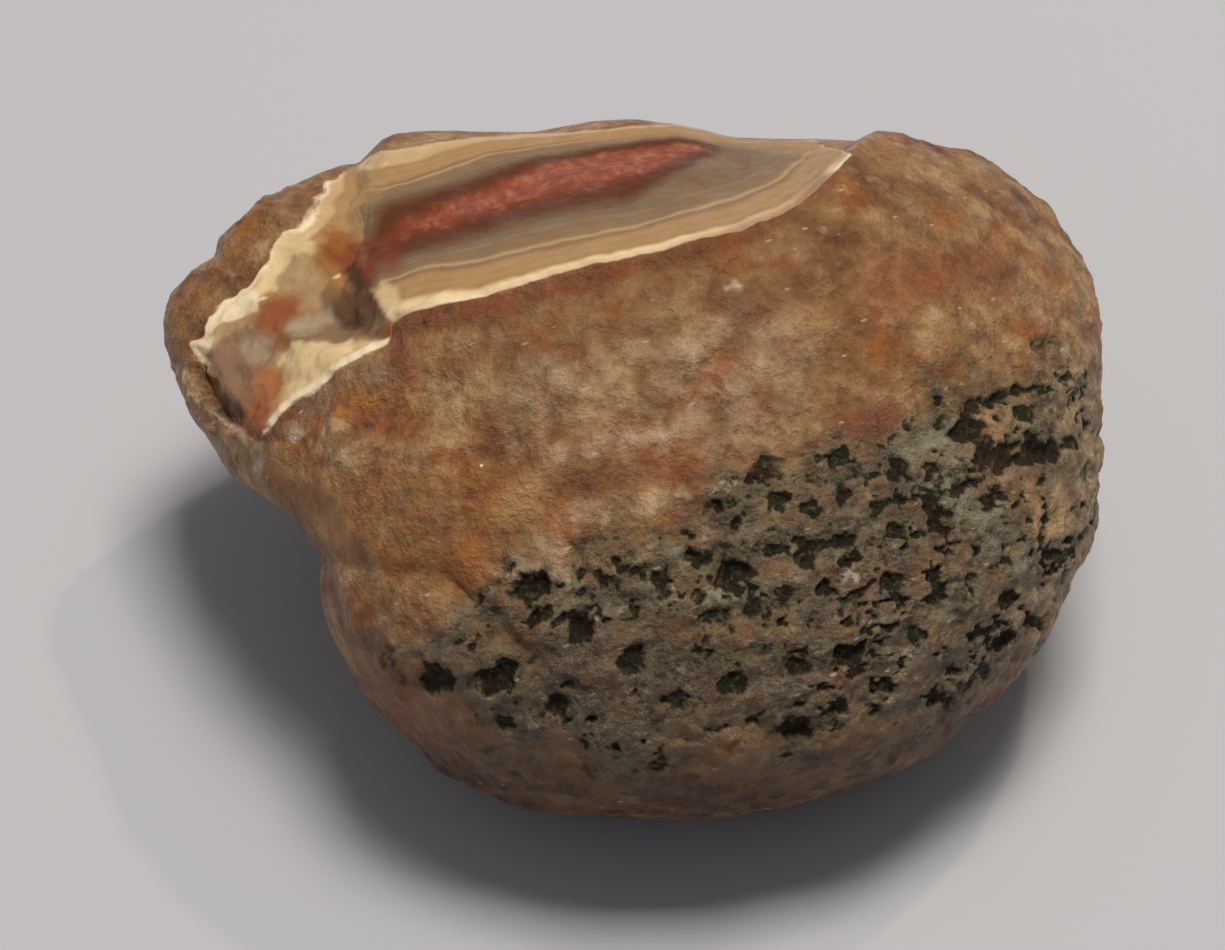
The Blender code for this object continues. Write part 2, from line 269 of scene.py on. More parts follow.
# %% [markdown]
# ## The broken end
#
# Agate breaks like glass, in curved and flat facets with sharp ridges between them. The left end is such a
# break. Each ridge's corners are listed, the ridges become the edges of a triangulation, and the surface is
# then read off the triangle that a point falls in.

# %% The facets of the broken end
BREAK_CORNERS = {
    "rim": (-19.8, 19.3, -8.4), "notch": (-17.6, 20.2, -9.6), "side": (-16.6, 17.4, -5.2),
    "lobe_a": (-19.9, 16.5, -5.2), "lobe_b": (-21.1, 15.4, -4.6), "lobe_c": (-22, 15, -4.9),
    "lobe_d": (-23.9, 12.4, -3.7), "lobe_e": (-25.8, 10.9, -3.7), "lobe_f": (-26.9, 9.8, -3.4),
    "lobe_g": (-27.9, 8.1, -3.2), "lip_a": (-28.2, 6, -2.4), "lip_b": (-27.3, 4.5, -0.7),
    "lip_c": (-25.7, 2.5), "crack_a": (-27.5, 6.5, -3.2), "crack_b": (-26.5, 4.7, -1.3),
    "crack_c": (-25.3, 3.3, 0.9), "crack_d": (-23.4, 1.9), "shelf_a": (-22.5, 3.3), "shelf_b": (-21.7, 4.4),
    "shelf_c": (-19.8, 5.7), "shelf_d": (-17.9, 6.9), "shelf_e": (-15.6, 8.2), "edge": (-15.2, 9.4),
    "riser_a": (-16.2, 11.2, 5.6), "riser_b": (-16.8, 13.6, 1.4), "foot_a": (-17.2, 9, 4.6),
    "foot_b": (-18.4, 11.4, 0.9), "tongue_a": (-22.3, 5.4, 4.2), "tongue_b": (-22.3, 8.9, 1.2),
    "tongue_c": (-26.6, 7.7, -1.9), "tongue_d": (-25.8, 5.4, 0.7), "tongue_e": (-24.2, 3.7, 3.3),
    "ridge": (-23.6, 10, -0.7), "out_a": (-21, 21, -9.6), "out_b": (-25.5, 18.5, -9),
    "out_c": (-29.5, 14.8, -8.2), "out_d": (-32.5, 10.5, -7.4), "out_e": (-31.5, 5.5, -6.4),
    "out_f": (-29, 2.5, -4.2),
}
BREAK_RIDGES = [
    "notch rim lobe_a lobe_b lobe_c lobe_d lobe_e lobe_f lobe_g lip_a lip_b lip_c crack_d",
    "lobe_g crack_a crack_b crack_c crack_d shelf_a shelf_b shelf_c shelf_d shelf_e edge",
    "edge riser_a riser_b side notch", "foot_a foot_b tongue_b tongue_a shelf_a", "shelf_e foot_a",
    "foot_b riser_b", "riser_a foot_a", "foot_b side", "lobe_g tongue_c tongue_d tongue_e shelf_a",
    "tongue_c ridge tongue_b", "ridge foot_b lobe_a", "lobe_d ridge lobe_f",
    "rim out_a out_b out_c out_d out_e out_f lip_c", "lobe_c out_b", "lobe_e out_c", "lobe_g out_d",
    "lip_a out_e",
]
BREAK_REACH = -14.0


def break_facets():
    """The broken end's facets, as triangles of corners."""
    names = list(BREAK_CORNERS)
    x, y = np.array([BREAK_CORNERS[name][:2] for name in names]).T
    corners = np.column_stack([x, y, worn_front(x, y)])
    for corner, name in zip(corners, names):
        corner[: len(BREAK_CORNERS[name])] = BREAK_CORNERS[name]
    edges = []
    for chain in BREAK_RIDGES:
        chain = [names.index(name) for name in chain.split()]
        edges += zip(chain, chain[1:])
    faces = delaunay_2d_cdt([Vector(c[:2]) for c in corners], edges, [], 1, 1e-6)[2]
    return [corners[list(face)] for face in faces]


def break_height(x, y, facets):
    """The z of the broken end's surface, and far out in front where it isn't broken."""
    height = np.full(x.shape, 99.0)
    at = np.where(x < BREAK_REACH)[0]
    x, y = x[at], y[at]
    for a, b, c in facets:
        across = (b[0] - a[0]) * (c[1] - a[1]) - (c[0] - a[0]) * (b[1] - a[1])
        s = ((x - a[0]) * (c[1] - a[1]) - (c[0] - a[0]) * (y - a[1])) / across
        t = ((b[0] - a[0]) * (y - a[1]) - (x - a[0]) * (b[1] - a[1])) / across
        inside = (s > -1e-6) & (t > -1e-6) & (s + t < 1 + 1e-6)
        height[at] = np.where(inside, a[2] + s * (b[2] - a[2]) + t * (c[2] - a[2]), height[at])
    return height


facets = break_facets()
print("facets on the broken end:", len(facets))

# %% [markdown]
# ## Wear, creases and pits
#
# The worn face carries wide swells, two creases and many pits. The pits follow rows, because the bands inside
# the stone meet the surface there and the softer ones dissolve first. The large pits are listed one by one.
# The crumbs between them come from noise that is stretched along the rows and kept to the pit field.
# A swell is a place, a length, a width, a turn in degrees and a height. A crease is a line, a depth and a
# width. A pit is a place and a radius: it is stretched along its row, and its depth is a share of the radius.

# %% The relief of the face
SWELLS = [
    (-14, 4, 3.2, 2, 10, -0.9),
    (-17.5, 1, 2.6, 2.6, 0, 0.5),
    (-14.5, -9.5, 6, 4, -40, 0.8),
    (-3, 6, 6, 3, 20, 0.4),
]
CREASES = [
    ([(-19.5, -5.4), (-15, -6.2), (-12.8, -6.3)], 0.6, 0.8),
    ([(-11.4, -6.6), (-8.6, -9.2), (-5.8, -11.8)], 0.75, 0.9),
]
PIT_ROWS = math.radians(18.0)
PIT_FIELD = [
    (-15.7, -10.8), (-13.5, -9.6), (-9.5, -8), (-6.5, -5), (-4, -4.4), (4.3, -2.2), (8.1, 1),
    (14.5, 2.2), (19.6, 5.6), (23, 7), (27, 7.6), (29.6, 5.4), (31, -3), (25.9, -11.5),
    (20.2, -15.8), (10.7, -17.9), (-2, -19.6), (-10.3, -17.1), (-13, -14.6),
]
PITS = [
    (23.6, 12.3, .3), (26.1, 8, .6), (28.6, 5, .4), (19.7, 4.8, .4), (21.5, 2.5, 1), (25, 3.7, .6),
    (17.7, 2.9, .4), (19.6, 3, .4), (9, .3, .9), (7.7, -.4, .5), (13.3, .8, .7), (26.2, 1.1, .9),
    (15.7, -.1, .4), (13.7, -1.5, .6), (15.9, -2, .4), (5.1, -2.3, .6), (9.4, -1.9, .6), (6.7, -3.4, .6),
    (3.6, -4.1, .5), (3.8, -5.3, .5), (6.4, -6.8, 1.1), (2.1, -7, .5), (3.1, -8.1, .4), (4.3, -8.1, .4),
    (11, -5.7, .6), (10.6, -4.5, .5), (12.3, -7.6, .6), (9.8, -7.7, .4), (9.3, -5, .6), (14, -5.8, .4),
    (17, -3.9, .6), (18.3, -4.1, .5), (22.3, -5.2, .4), (23.2, -1.7, .6), (22.9, .9, .5), (19.3, -2.6, .5),
    (20.8, -2.1, .4), (19.3, .1, .5), (14.5, -5.7, .4), (19.2, -6.5, .6), (23.7, -5.9, .4),
    (25.8, -5.1, .4), (27.7, -5.5, .4), (16.6, -7.2, .6), (19.2, -8.3, .4), (24.1, -8.4, .7),
    (25.8, -9.8, .6), (23.8, -10.9, .7), (18.2, -10.5, .5), (13.7, -9.8, .5), (14, -11.7, .8),
    (10.5, -12.5, .6), (4.4, -11.6, .6), (6.4, -13.7, .8), (-.1, -12.1, .8), (-3.2, -10.3, .8),
    (-1.8, -6.9, .5), (-3.4, -5.2, .6), (-6.6, -7.6, 1.1), (-14.9, -11.1, .4), (-15, -11.8, .4),
    (-12.7, -12.2, .4), (-14.4, -12.8, .4), (-12.3, -13.1, .9), (-15.5, -13.7, .4), (-8.4, -13.1, 1),
    (-7.3, -14.7, .4), (-4.8, -15.1, .8), (-9.8, -16.1, .4), (-8.1, -16.1, .4), (-2.7, -15.9, .5),
    (-2.7, -18.9, .5), (10.5, -16.6, .8), (13.2, -15.1, .5), (15.9, -13.9, .6), (19.4, -14.5, .6),
    (20.4, -14.7, .5), (14.3, -12.5, .5), (6.6, -17.3, .4), (16.8, -18, .4),
]
PIT_STRETCH, PIT_DEPTH, CRUMB_DEPTH = 1.35, 0.65, 0.3


def along_rows(x, y):
    """Coordinates along the rows of pits and across them."""
    return x * math.cos(PIT_ROWS) + y * math.sin(PIT_ROWS), y * math.cos(PIT_ROWS) - x * math.sin(PIT_ROWS)


def wear(x, y):
    """How far the face is raised by its swells and sunk by its creases."""
    relief = np.zeros(x.shape)
    for cx, cy, along, across, turn, height in SWELLS:
        turn = math.radians(turn)
        a = ((x - cx) * math.cos(turn) + (y - cy) * math.sin(turn)) / along
        b = ((y - cy) * math.cos(turn) - (x - cx) * math.sin(turn)) / across
        relief += height * np.exp(-(a**2) - b**2)
    for points, depth, width in CREASES:
        relief -= depth * np.exp(-distance_to_line(x, y, points) / width)
    return relief


def placed_pits(u, v, ragged):
    """How deep the pits placed by hand are, in millimetres. Their outlines are bent by the ragged shifts."""
    u, v = along_rows(u + ragged[0], v + ragged[1])
    depth = np.zeros(u.shape)
    for cu, cv, radius in PITS:
        cu, cv = along_rows(cu, cv)
        away = np.hypot((u - cu) / PIT_STRETCH, v - cv) / radius
        depth = np.maximum(depth, PIT_DEPTH * radius * ease(1.15, 0.35, away))
    return depth


def crumbs(points, u, v, field):
    """How deep the small crumbling between the pits is, in millimetres."""
    along, across = along_rows(u, v)
    drawn_out = np.column_stack([along / 1.6, across, points[:, 2] * 0.4])
    rows = ripple(np.column_stack([along / 4.0, across, 0 * along]), 1.7, 21) + ripple(points, 4.5, 25)
    small = ripple(drawn_out, 0.8, 22) + 0.6 * ripple(drawn_out, 0.38, 23) + 0.4 * ripple(drawn_out, 0.22, 24)
    return CRUMB_DEPTH * ease(0.15, 0.85, small + 0.6 * rows) * field


# %% [markdown]
# ## Solving for the surface
#
# The stone is the space inside all of these surfaces at once: worn body, flat spot, window and broken end.
# A ray from the middle leaves that space once, so halving a span on each ray 18 times finds the surface to
# within a thousandth of a millimetre, and sharp edges stay sharp at any resolution.

# %% The stone as one surface
REST_WEAR = 0.4
REST_BLEND, WINDOW_BLEND, BREAK_BLEND = 2.5, 0.5, 0.2
REACH_SPAN, REACH_HALVINGS = (4.0, 42.0), 18
MIDDLE = np.array([0.0, 0.0, GIRDLE_DEPTH])
edge_x, edge_y = np.array(WINDOW_EDGE).T
near_edge = np.column_stack([edge_x, edge_y, np.maximum(worn_front(edge_x, edge_y), RIM_DEPTH + 3)])


def beyond_stone(points):
    """How far points lie outside the stone."""
    x, y, z = points.T
    under = REST_HEIGHT - REST_WEAR - y * math.sin(LEAN_BACK) - z * math.cos(LEAN_BACK)
    worn = smooth_max(beyond_worn(x, y, z), under, REST_BLEND)
    opened = smooth_max(worn, beyond_window(x, y, z, near_edge), WINDOW_BLEND)
    return smooth_max(opened, (z - break_height(x, y, facets)) * BREAK_TILT, BREAK_BLEND)


def on_surface(directions):
    """The bare surface in each direction from the middle, in the face frame."""
    low, high = np.full(len(directions), REACH_SPAN[0]), np.full(len(directions), REACH_SPAN[1])
    for _ in range(REACH_HALVINGS):
        reach = (low + high) / 2
        outside = beyond_stone(MIDDLE + directions * reach[:, None]) > 0
        low, high = np.where(outside, low, reach), np.where(outside, reach, high)
    return MIDDLE + directions * ((low + high) / 2)[:, None]


# %% [markdown]
# ## A mesh that is fine only where it has to be
#
# The start is an icosphere, a ball of even triangles. Each pass solves for the surface and splits the
# edges that are longer than the detail there allows: about a quarter of a millimetre in the pit field, on
# the broken end and along the window's near edge, 0.62 on the rest of the face and 1.3 on the plain back.

# %% Refine the ball
FACE_LENGTH, BACK_LENGTH = 0.62, 1.3
PIT_LENGTH, BREAK_LENGTH = 0.27, 0.26


def wanted_edge(points):
    """How long the mesh's edges may be at each point, in millimetres."""
    u, v = as_seen(points)
    front = points[:, 2] > -3 - 0.35 * v
    length = np.where(front, FACE_LENGTH, BACK_LENGTH)
    length[(u < -14.3) & (v > 1.0) & (points[:, 2] > -11)] = BREAK_LENGTH
    length[(distance_to_line(u, v, WINDOW_EDGE) < 0.9) & front] = BREAK_LENGTH
    length[(distance_inside(u, v, PIT_FIELD) > -1.2) & front] = PIT_LENGTH
    return length


def refined_ball(passes=3):
    """A ball of directions, and the stone's surface in each of them."""
    mesh = bmesh.new()
    bmesh.ops.create_icosphere(mesh, subdivisions=6, radius=1.0)
    for _ in range(passes):
        surface = on_surface(np.array([v.co.normalized() for v in mesh.verts]))
        mesh.verts.index_update()
        mesh.edges.ensure_lookup_table()
        ends = np.array([[v.index for v in edge.verts] for edge in mesh.edges])
        a, b = surface[ends[:, 0]], surface[ends[:, 1]]
        long = np.linalg.norm(a - b, axis=1) > wanted_edge((a + b) / 2)
        faces = {face for i in np.where(long)[0] for face in mesh.edges[i].link_faces}
        edges = {edge for face in faces for edge in face.edges}
        bmesh.ops.subdivide_edges(mesh, edges=list(edges), cuts=1, use_grid_fill=True)
        bmesh.ops.triangulate(mesh, faces=mesh.faces)
    return mesh


ball = refined_ball()
directions = np.array([v.co.normalized() for v in ball.verts])
bare = on_surface(directions)
print("triangles:", len(ball.faces), "points:", len(ball.verts))

# %% [markdown]
# ## Fine relief
#
# Every surface gets the relief of how it was made. The worn face was knocked about in gravel, so it is
# covered in overlapping shallow bruises. The window and the broken end stay smoother, though the broken
# end has small scallops, and the plain back gets little. All relief is added along the ray, which keeps the
# surface from folding over itself. A layer is a size and a height in millimetres, a seed, and the share of
# it that is left off the worn face.

# %% Add the relief
UNDULATIONS = [(7.0, 0.35, 1, 1.0), (2.6, 0.15, 2, 1.0), (0.7, 0.10, 10, 0.4)]
BRUISES = [(2.8, 0.50, 8, 0.1), (1.3, 0.26, 9, 0.15)]
SCALLOPS = [(2.1, 0.55, 12), (0.8, 0.12, 13)]
STRATA_DEPTH = 0.2

u, v = as_seen(bare)
x, y, z = bare.T
on_face = np.clip((z - worn_front(x, y)) / 0.5 + 1.6, 0.0, 1.0)  # 0 from 0.8 mm below the worn face
into_field = distance_inside(u, v, PIT_FIELD) + 2.0 * ripple(bare, 4.5, 31) + 1.1 * ripple(bare, 1.4, 32)
pit_field = ease(-1.6, 1.8, into_field) * on_face
ragged = [wobble(bare, (0.5, 0.9), (0.35, 0.35), seeds) for seeds in ((3, 11), (4, 12))]
pit_depth = np.maximum(placed_pits(u, v, ragged) * on_face, crumbs(bare, u, v, pit_field))
off_face = 1 - on_face
along, across = along_rows(u, v)
strata = ripple(np.column_stack([along / 6.0, across, 0 * along]), 1.3, 26) + 0.4 * ripple(bare, 1.5, 27)
strata = ease(0.05, 0.6, strata) * pit_field

shift = wear(x, y) * on_face - pit_depth - STRATA_DEPTH * strata
bent = bare + 0.35 * np.column_stack([ripple(bare, 1.2, 5), ripple(bare, 1.2, 6), ripple(bare, 1.2, 7)])
for size, height, seed, left in UNDULATIONS:
    shift += height * ripple(bare, size, seed) * (1 - (1 - left) * off_face)
for size, height, seed, left in BRUISES:
    shift += height * (dimples(bent, size, seed) - 0.5) * (1 - (1 - left) * off_face)
flaked = off_face * ease(-15.5, -16.8, u) * ease(0.0, 1.5, v - 1.0)
for size, height, seed in SCALLOPS:
    shift += height * (dimples(bent, size, seed) - 0.5) * flaked
shaped = bare + directions * shift[:, None]
print("deepest pit in mm:", round(float(pit_depth.max()), 2))

# %% [markdown]
# ## Set it into the frame
#
# The shaped points are leaned back and cut off flat at the spot that the stone rests on. They are then
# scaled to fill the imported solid's box exactly, side by side.

# %% The mesh in its place
resting = lean_back(shaped)
resting[:, 2] = np.maximum(resting[:, 2], REST_HEIGHT)
low, high = resting.min(0), resting.max(0)
cad_low, cad_high = np.array(cad_box)
fit = (cad_high - cad_low) / (high - low)
placed = cad_low + (resting - low) * fit
face_middle = cad_low + (np.zeros(3) - low) * fit

for vertex, point in zip(ball.verts, placed):
    vertex.co = point
bmesh.ops.recalc_face_normals(ball, faces=ball.faces)
mesh = bpy.data.meshes.new("agate")
ball.to_mesh(mesh)
ball.free()
mesh.shade_smooth()
agate = bpy.data.objects.new("agate_nodule_dressed", mesh)
bpy.context.scene.collection.objects.link(agate)
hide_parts("agate_nodule")
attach(agate, "root")
print("metres per millimetre of the face frame:", np.round(fit, 6).tolist())

# %% [markdown]
# ## Where the bands run
#
# The bands followed the walls of the gas bubble, so each one keeps its distance from the rind. That makes
# them easy to draw: a point's place in the banding is its distance from the nearest line where the bands
# meet the rind, divided by how far the red core lies from that line. It is 0 at the rind and 1 at the core.
# At the right end the place falls off along one slope, so the core tapers to a tip on its far side.

# %% The place in the banding
NEAR_LINE = [
    (-23.3, 2), (-22.5, 3.3), (-21.7, 4.4), (-19.8, 5.7), (-17.9, 6.9), (-15.7, 8.25), (-15.5, 9.4),
    (-14.7, 9.8), (-12.8, 10.4), (-9.65, 11.3), (-6.5, 12.1), (-2, 13.1), (1.1, 13.8), (4.3, 14.6),
    (6.9, 15.3), (9.4, 16.4), (10.7, 17.1), (11.9, 18.1), (13.2, 19.3), (14, 20.1),
]
FAR_LINE = [
    (-16.8, 20), (-16, 20.3), (-12.2, 20.9), (-9.7, 21.2), (-7.1, 21.3), (-4.6, 21.5), (-2, 21.8),
    (.5, 21.9), (3, 22), (4.3, 21.8), (6.9, 21.4), (9.4, 21.3), (10.7, 21.1), (11.9, 20.9), (13.2, 20.4),
    (14, 20.1),
]
LOBE_LINE = [
    (-19.3, 18.5), (-19.9, 16.5), (-21.1, 15.4), (-22, 15), (-22.7, 14), (-23.9, 12.4), (-24.6, 11.6),
    (-25.8, 10.9), (-26.9, 9.8), (-27, 8.3), (-27.9, 8.1), (-27.2, 6.6),
]
OPENED = NEAR_LINE + FAR_LINE[::-1] + LOBE_LINE
CORE_FROM_NEAR, CORE_FROM_LOBE = 5.0, 5.0
CORE_FROM_FAR = [(-15.5, 4.9), (-13.5, 4.3), (-9.7, 3.3), (-5.8, 2.1), (-2.0, 1.4), (4.3, 1.0)]
CORE_TIP, CORE_SLANT, CORE_TAPER = (4.9, 20.8), 1.6, 5.0
CORE_BLEND, BAND_BLEND = 0.3, 0.12
APEX_BAND = 0.66
BREAK_STARTS = (-16.3, -17.2)
BREAK_BAND = 0.42


def banding(u, v):
    """0 at the rim of the bands, 1 where the red core starts. The core stops short of both ends."""
    from_far = np.interp(u, *np.array(CORE_FROM_FAR).T)
    near = distance_to_line(u, v, NEAR_LINE) / CORE_FROM_NEAR
    far = distance_to_line(u, v, FAR_LINE) / from_far
    lobe = distance_to_line(u, v, LOBE_LINE) / CORE_FROM_LOBE
    place = -smooth_max(smooth_max(-near, -far, BAND_BLEND), -lobe, BAND_BLEND)
    end = 1.0 + (CORE_TIP[0] - u - CORE_SLANT * (CORE_TIP[1] - v)) / CORE_TAPER
    place = np.maximum(-smooth_max(-place, -end, CORE_BLEND), np.minimum(place, APEX_BAND))
    place = -smooth_max(-place, (2.0 - BREAK_BAND) * ease(*BREAK_STARTS, u) - 2.0, BAND_BLEND)
    left = ease(-9.0, -14.0, u)
    return place - 0.09 * left * ease(0.0, 0.2, place) * ease(0.8, 0.4, place)


girdle = z - GIRDLE_DEPTH - GIRDLE_SLOPE * y
faces_us = ease(-3.9, -3.1, girdle)
torn = ease(-14.5, -16.0, u) * ease(0.4, 1.4, distance_to_line(u, v, NEAR_LINE))
wander_u, wander_v = [(0.05 + 0.16 * torn) * ripple(bare, 1.1, seed) for seed in (41, 42)]
place = banding(u + wander_u, v + wander_v)
rim_inside = np.clip(distance_inside(u + wander_u, v + wander_v, OPENED), -2.0, 2.0)
opened = np.minimum(rim_inside, (girdle + 3.5) * 0.5)
print("red core on", int(((place > 1) & (opened > 0)).sum()), "points")

# %% [markdown]
# ## Stains, painted shade and a painted highlight, laid on as dabs and washes
#
# Iron and clay coloured this stone unevenly, along cracks and where the rind is thin. The marks are laid on
# one by one, as a painter would. A dab follows a line of points in view coordinates, with a radius and a soft
# margin. A wash fills an outline up to a soft margin. Each names one mineral of a small palette, and how
# strongly it covers. The same palette colours the bands. Most marks are stains, but a few are painted light:
# painted shade under the window's near edge, along the underside, in the crack of the broken end and on the
# riser's shaded side, a stain with painted shade below the window's corner, and a painted highlight along a
# crease.

# %% The palette and the marks
MINERALS = {
    "milk": "#ead8b8",  # milky chalcedony
    "cream": "#d6bc90",
    "straw": "#ae946e",  # clear chalcedony over clay
    "tan": "#a8845a",
    "dun": "#886b4e",
    "smoke": "#806a50",  # smoky chalcedony
    "bruise": "#b09c84",  # chalcedony clouded by fine cracks
    "quartz": "#d8cec2",
    "sage": "#8a8a78",  # a breath of celadonite
    "mauve": "#8c6c58",
    # brown, bruise and umber also lay painted shade and a painted highlight in a few marks below.
    "brown": "#684830",
    "honey": "#9a642c",  # iron, from thin to thick
    "orange": "#a8683c",
    "rust": "#8c4a2c",
    "brick": "#76361c",
    "oxblood": "#5a3019",
    "umber": "#3d2416",
    "celadonite": "#26281a",
    "carnelian": "#8a4630",
    "grain": "#aa6e50",
}
RIND_DABS = [
    # Painted shade: a brown strip under the window's near edge.
    ([(-11, 7.2), (-4, 9.4), (3, 10.8), (9, 12.6)], 1.2, 2.4, "brown", .4),
    ([(-4, 3.5), (2, 4.5), (8, 6)], 2.5, 3, "bruise", .4),
    ([(-8, -2), (-3, 1)], 1.5, 3, "honey", .35),
    ([(-19, 0.5), (-15.5, 1.5), (-12.5, 4), (-9.5, 5.4)], 0.8, 1.8, "straw", .45),
    ([(-19.8, -1.3), (-14.7, -2.5), (-10.3, -4.4)], 1.9, 2.5, "honey", .5),
    ([(-14.7, -14.6), (-11.6, -18.4)], 1.9, 2.5, "brick", .6),
    # Darkens the underside: partly the darker rind there, partly painted shade.
    ([(-12, -19.6), (-3, -21.6), (8, -21.5), (17, -18.9), (22.5, -16.5)], 1.2, 2.8, "umber", .92),
    ([(16.4, 11.7), (19.9, 12.4), (22.7, 12.4)], 1, 1.6, "rust", .5),
    ([(18.2, 11.6)], .5, .8, "rust", .5),
    ([(6.2, 11.4)], .35, .3, "quartz", .8),
    ([(5.2, 6.6)], .8, .7, "rust", .6),
    ([(8.2, 4.6)], .4, .7, "rust", .5),
    ([(3.7, 7)], .9, .5, "bruise", .5),
    ([(1.4, 4.6), (3, 4.2)], .3, .6, "brick", .5),
    # Painted highlight: a pale streak along the crease.
    ([(-4.6, 1), (0.4, 2.4), (6.4, 1.9)], .2, .5, "bruise", .5),
    ([(-2.5, -1.2), (1, 0.1), (4, -0.2)], .4, .7, "brick", .6),
    ([(-4, -3.4), (-1.5, -2.9), (1.9, -2.2)], .1, .5, "bruise", .6),
    ([(-3.5, -2.4), (0.3, -1.7), (3.2, -1.4)], .1, .5, "bruise", .5),
    ([(-5.9, -4.6), (-4.7, -4.9)], .3, .6, "bruise", .7),
    ([(-7.4, -6.4), (-5.2, -6), (-4.2, -7.2)], .3, .7, "bruise", .6),
    ([(-5.4, -9.3), (-3.9, -8.6)], .3, .6, "bruise", .5),
    ([(2.2, -5.2), (4.6, -6)], .3, .7, "sage", .6),
    ([(4.8, -8.1), (8, -7.7)], .3, .5, "sage", .7),
    ([(17.2, 1.6), (20.2, 2.2), (22.4, 0.8)], .6, .9, "sage", .65),
    ([(19.8, -0.6), (22.4, -2.6), (25, -5.6)], .7, .9, "sage", .6),
    ([(23, 3), (24, -0.6), (26.6, -3)], .8, 1.2, "tan", .75),
    ([(28.2, 6.5), (28.6, 1), (27.6, -5), (25.6, -9.5)], .9, 1.4, "straw", .6),
    ([(22.5, 7.6), (25.5, 6.4)], .6, 1.2, "tan", .6),
    ([(14.6, 2.6), (16.4, 3.6)], .5, .8, "brick", .6),
    ([(13.7, -7)], .35, .3, "quartz", .85),
    ([(12.8, -6.6)], .3, .4, "brick", .6),
    ([(-2.4, -4.2), (-0.6, -5)], .5, .8, "brown", .6),
    ([(-0.5, -10), (4, -10), (9, -9.4)], .6, .8, "brown", .6),
    # This broad dab darkens the lower face.
    ([(-9, -12.5), (-2, -14.5), (7, -15.5)], 2.5, 3, "umber", .38),
    ([(26.1, 7.9)], .35, .45, "celadonite", .95),
    ([(28.3, 5.4)], .3, .45, "celadonite", .9),
    ([(19.6, 4.8)], .3, .45, "celadonite", .9),
    ([(-29, 10.8)], 1.1, 1.3, "honey", .5),
    ([(-28.7, 7.9)], 1.1, 1.3, "brown", .5),
]
BREAK_DABS = [
    ([(-14.6, 9.3), (-11.6, 9.9), (-7.1, 11.3), (-2, 12.5), (1.8, 13.4), (5.6, 14.5), (8.3, 15.6),
      (10.6, 16.7), (12.4, 18.4)], .25, .8, "brick", .75),
    ([(-11.7, 10.3)], .25, .3, "umber", .8),
    ([(-16.8, 20), (-12.2, 20.9), (-7.1, 21.35), (-2, 21.8), (3, 22), (8, 21.4), (13, 20.4)],
     .5, .5, "tan", .6),
    # A red-brown stain below the window's corner, darkened further as painted shade.
    ([(-15.4, 8.8), (-14.9, 7.6), (-14.6, 6.5)], .25, .8, "brick", .85),
    ([(-20.2, 4.3), (-18.4, 5.3), (-16.3, 6.2)], .5, 1.1, "mauve", .75),
    ([(-18, 4), (-16.4, 3.9), (-14.2, 3)], .7, 1.1, "honey", .95),
    ([(-17.3, 3.2), (-15.4, 2.6)], .25, 1, "rust", .7),
    ([(-17.1, 3)], .15, .3, "umber", .9),
    ([(-15.8, 2.6)], .12, .25, "umber", .8),
    ([(-18.9, 2.4), (-18, 0.6)], .6, .6, "straw", .85),
    ([(-21.4, 2.5)], .4, .5, "bruise", .75),
    ([(-19.5, 3)], .3, .4, "bruise", .7),
    ([(-28, 6.2), (-27.4, 4.7), (-25.9, 3.2), (-24.9, 2.4), (-23.9, 1.5), (-23.5, 0.2)],
     .22, .3, "bruise", .9),
    ([(-28.1, 6.2), (-27.5, 4.8)], .2, .25, "cream", .9),
    # The crack of the broken end: dark umber, partly iron in the crack, partly painted shade.
    ([(-27.5, 6.6), (-26.9, 5.5), (-26.4, 4.6), (-25.3, 3.5), (-24.2, 2.7), (-22.9, 2.3)],
     .3, .4, "umber", .95),
    ([(-24.3, 2.9), (-23.4, 2.3)], .3, .5, "brick", .9),
    ([(-23, 2.5)], .12, .15, "quartz", .9),
    ([(-23.4, 1.7), (-23.4, 1.2)], .12, .15, "quartz", .8),
    ([(-23.3, 9.7), (-22.4, 10.4), (-21.8, 10.6)], .2, 1.3, "rust", .85),
    ([(-22.6, 9.2), (-22.4, 8.3)], .1, .8, "rust", .6),
    ([(-21.5, 9.1), (-20.2, 9.5), (-18.6, 10.2)], .1, .6, "bruise", .75),
    # Painted shade: these two dabs darken the riser's shaded side.
    ([(-18.4, 10.2), (-17.7, 9.6)], .25, 1, "umber", .85),
    ([(-18.9, 11.1), (-17.7, 10.9)], .25, 1, "brown", .75),
    ([(-19.6, 13.4), (-18.9, 12.4)], .2, 1.3, "honey", .7),
    ([(-18.7, 14.1), (-17.7, 13.6), (-17.2, 12.4)], .4, 1.2, "brick", .85),
    ([(-18.8, 14.6)], .3, .8, "honey", .6),
    ([(-17.6, 12.6), (-17.3, 11.9)], .2, .6, "umber", .8),
    ([(-15.8, 14.2), (-15.4, 13.4)], .4, .9, "brick", .6),
    ([(-23, 5.6), (-23.2, 4.4), (-23.8, 3.6)], .25, 1.4, "orange", .8),
    ([(-23.6, 3.7)], .25, .8, "rust", .8),
    ([(-24.3, 8), (-23.7, 7.6)], .25, .9, "bruise", .6),
    ([(-25.8, 7), (-25.7, 5.6)], .2, 1, "mauve", .6),
]
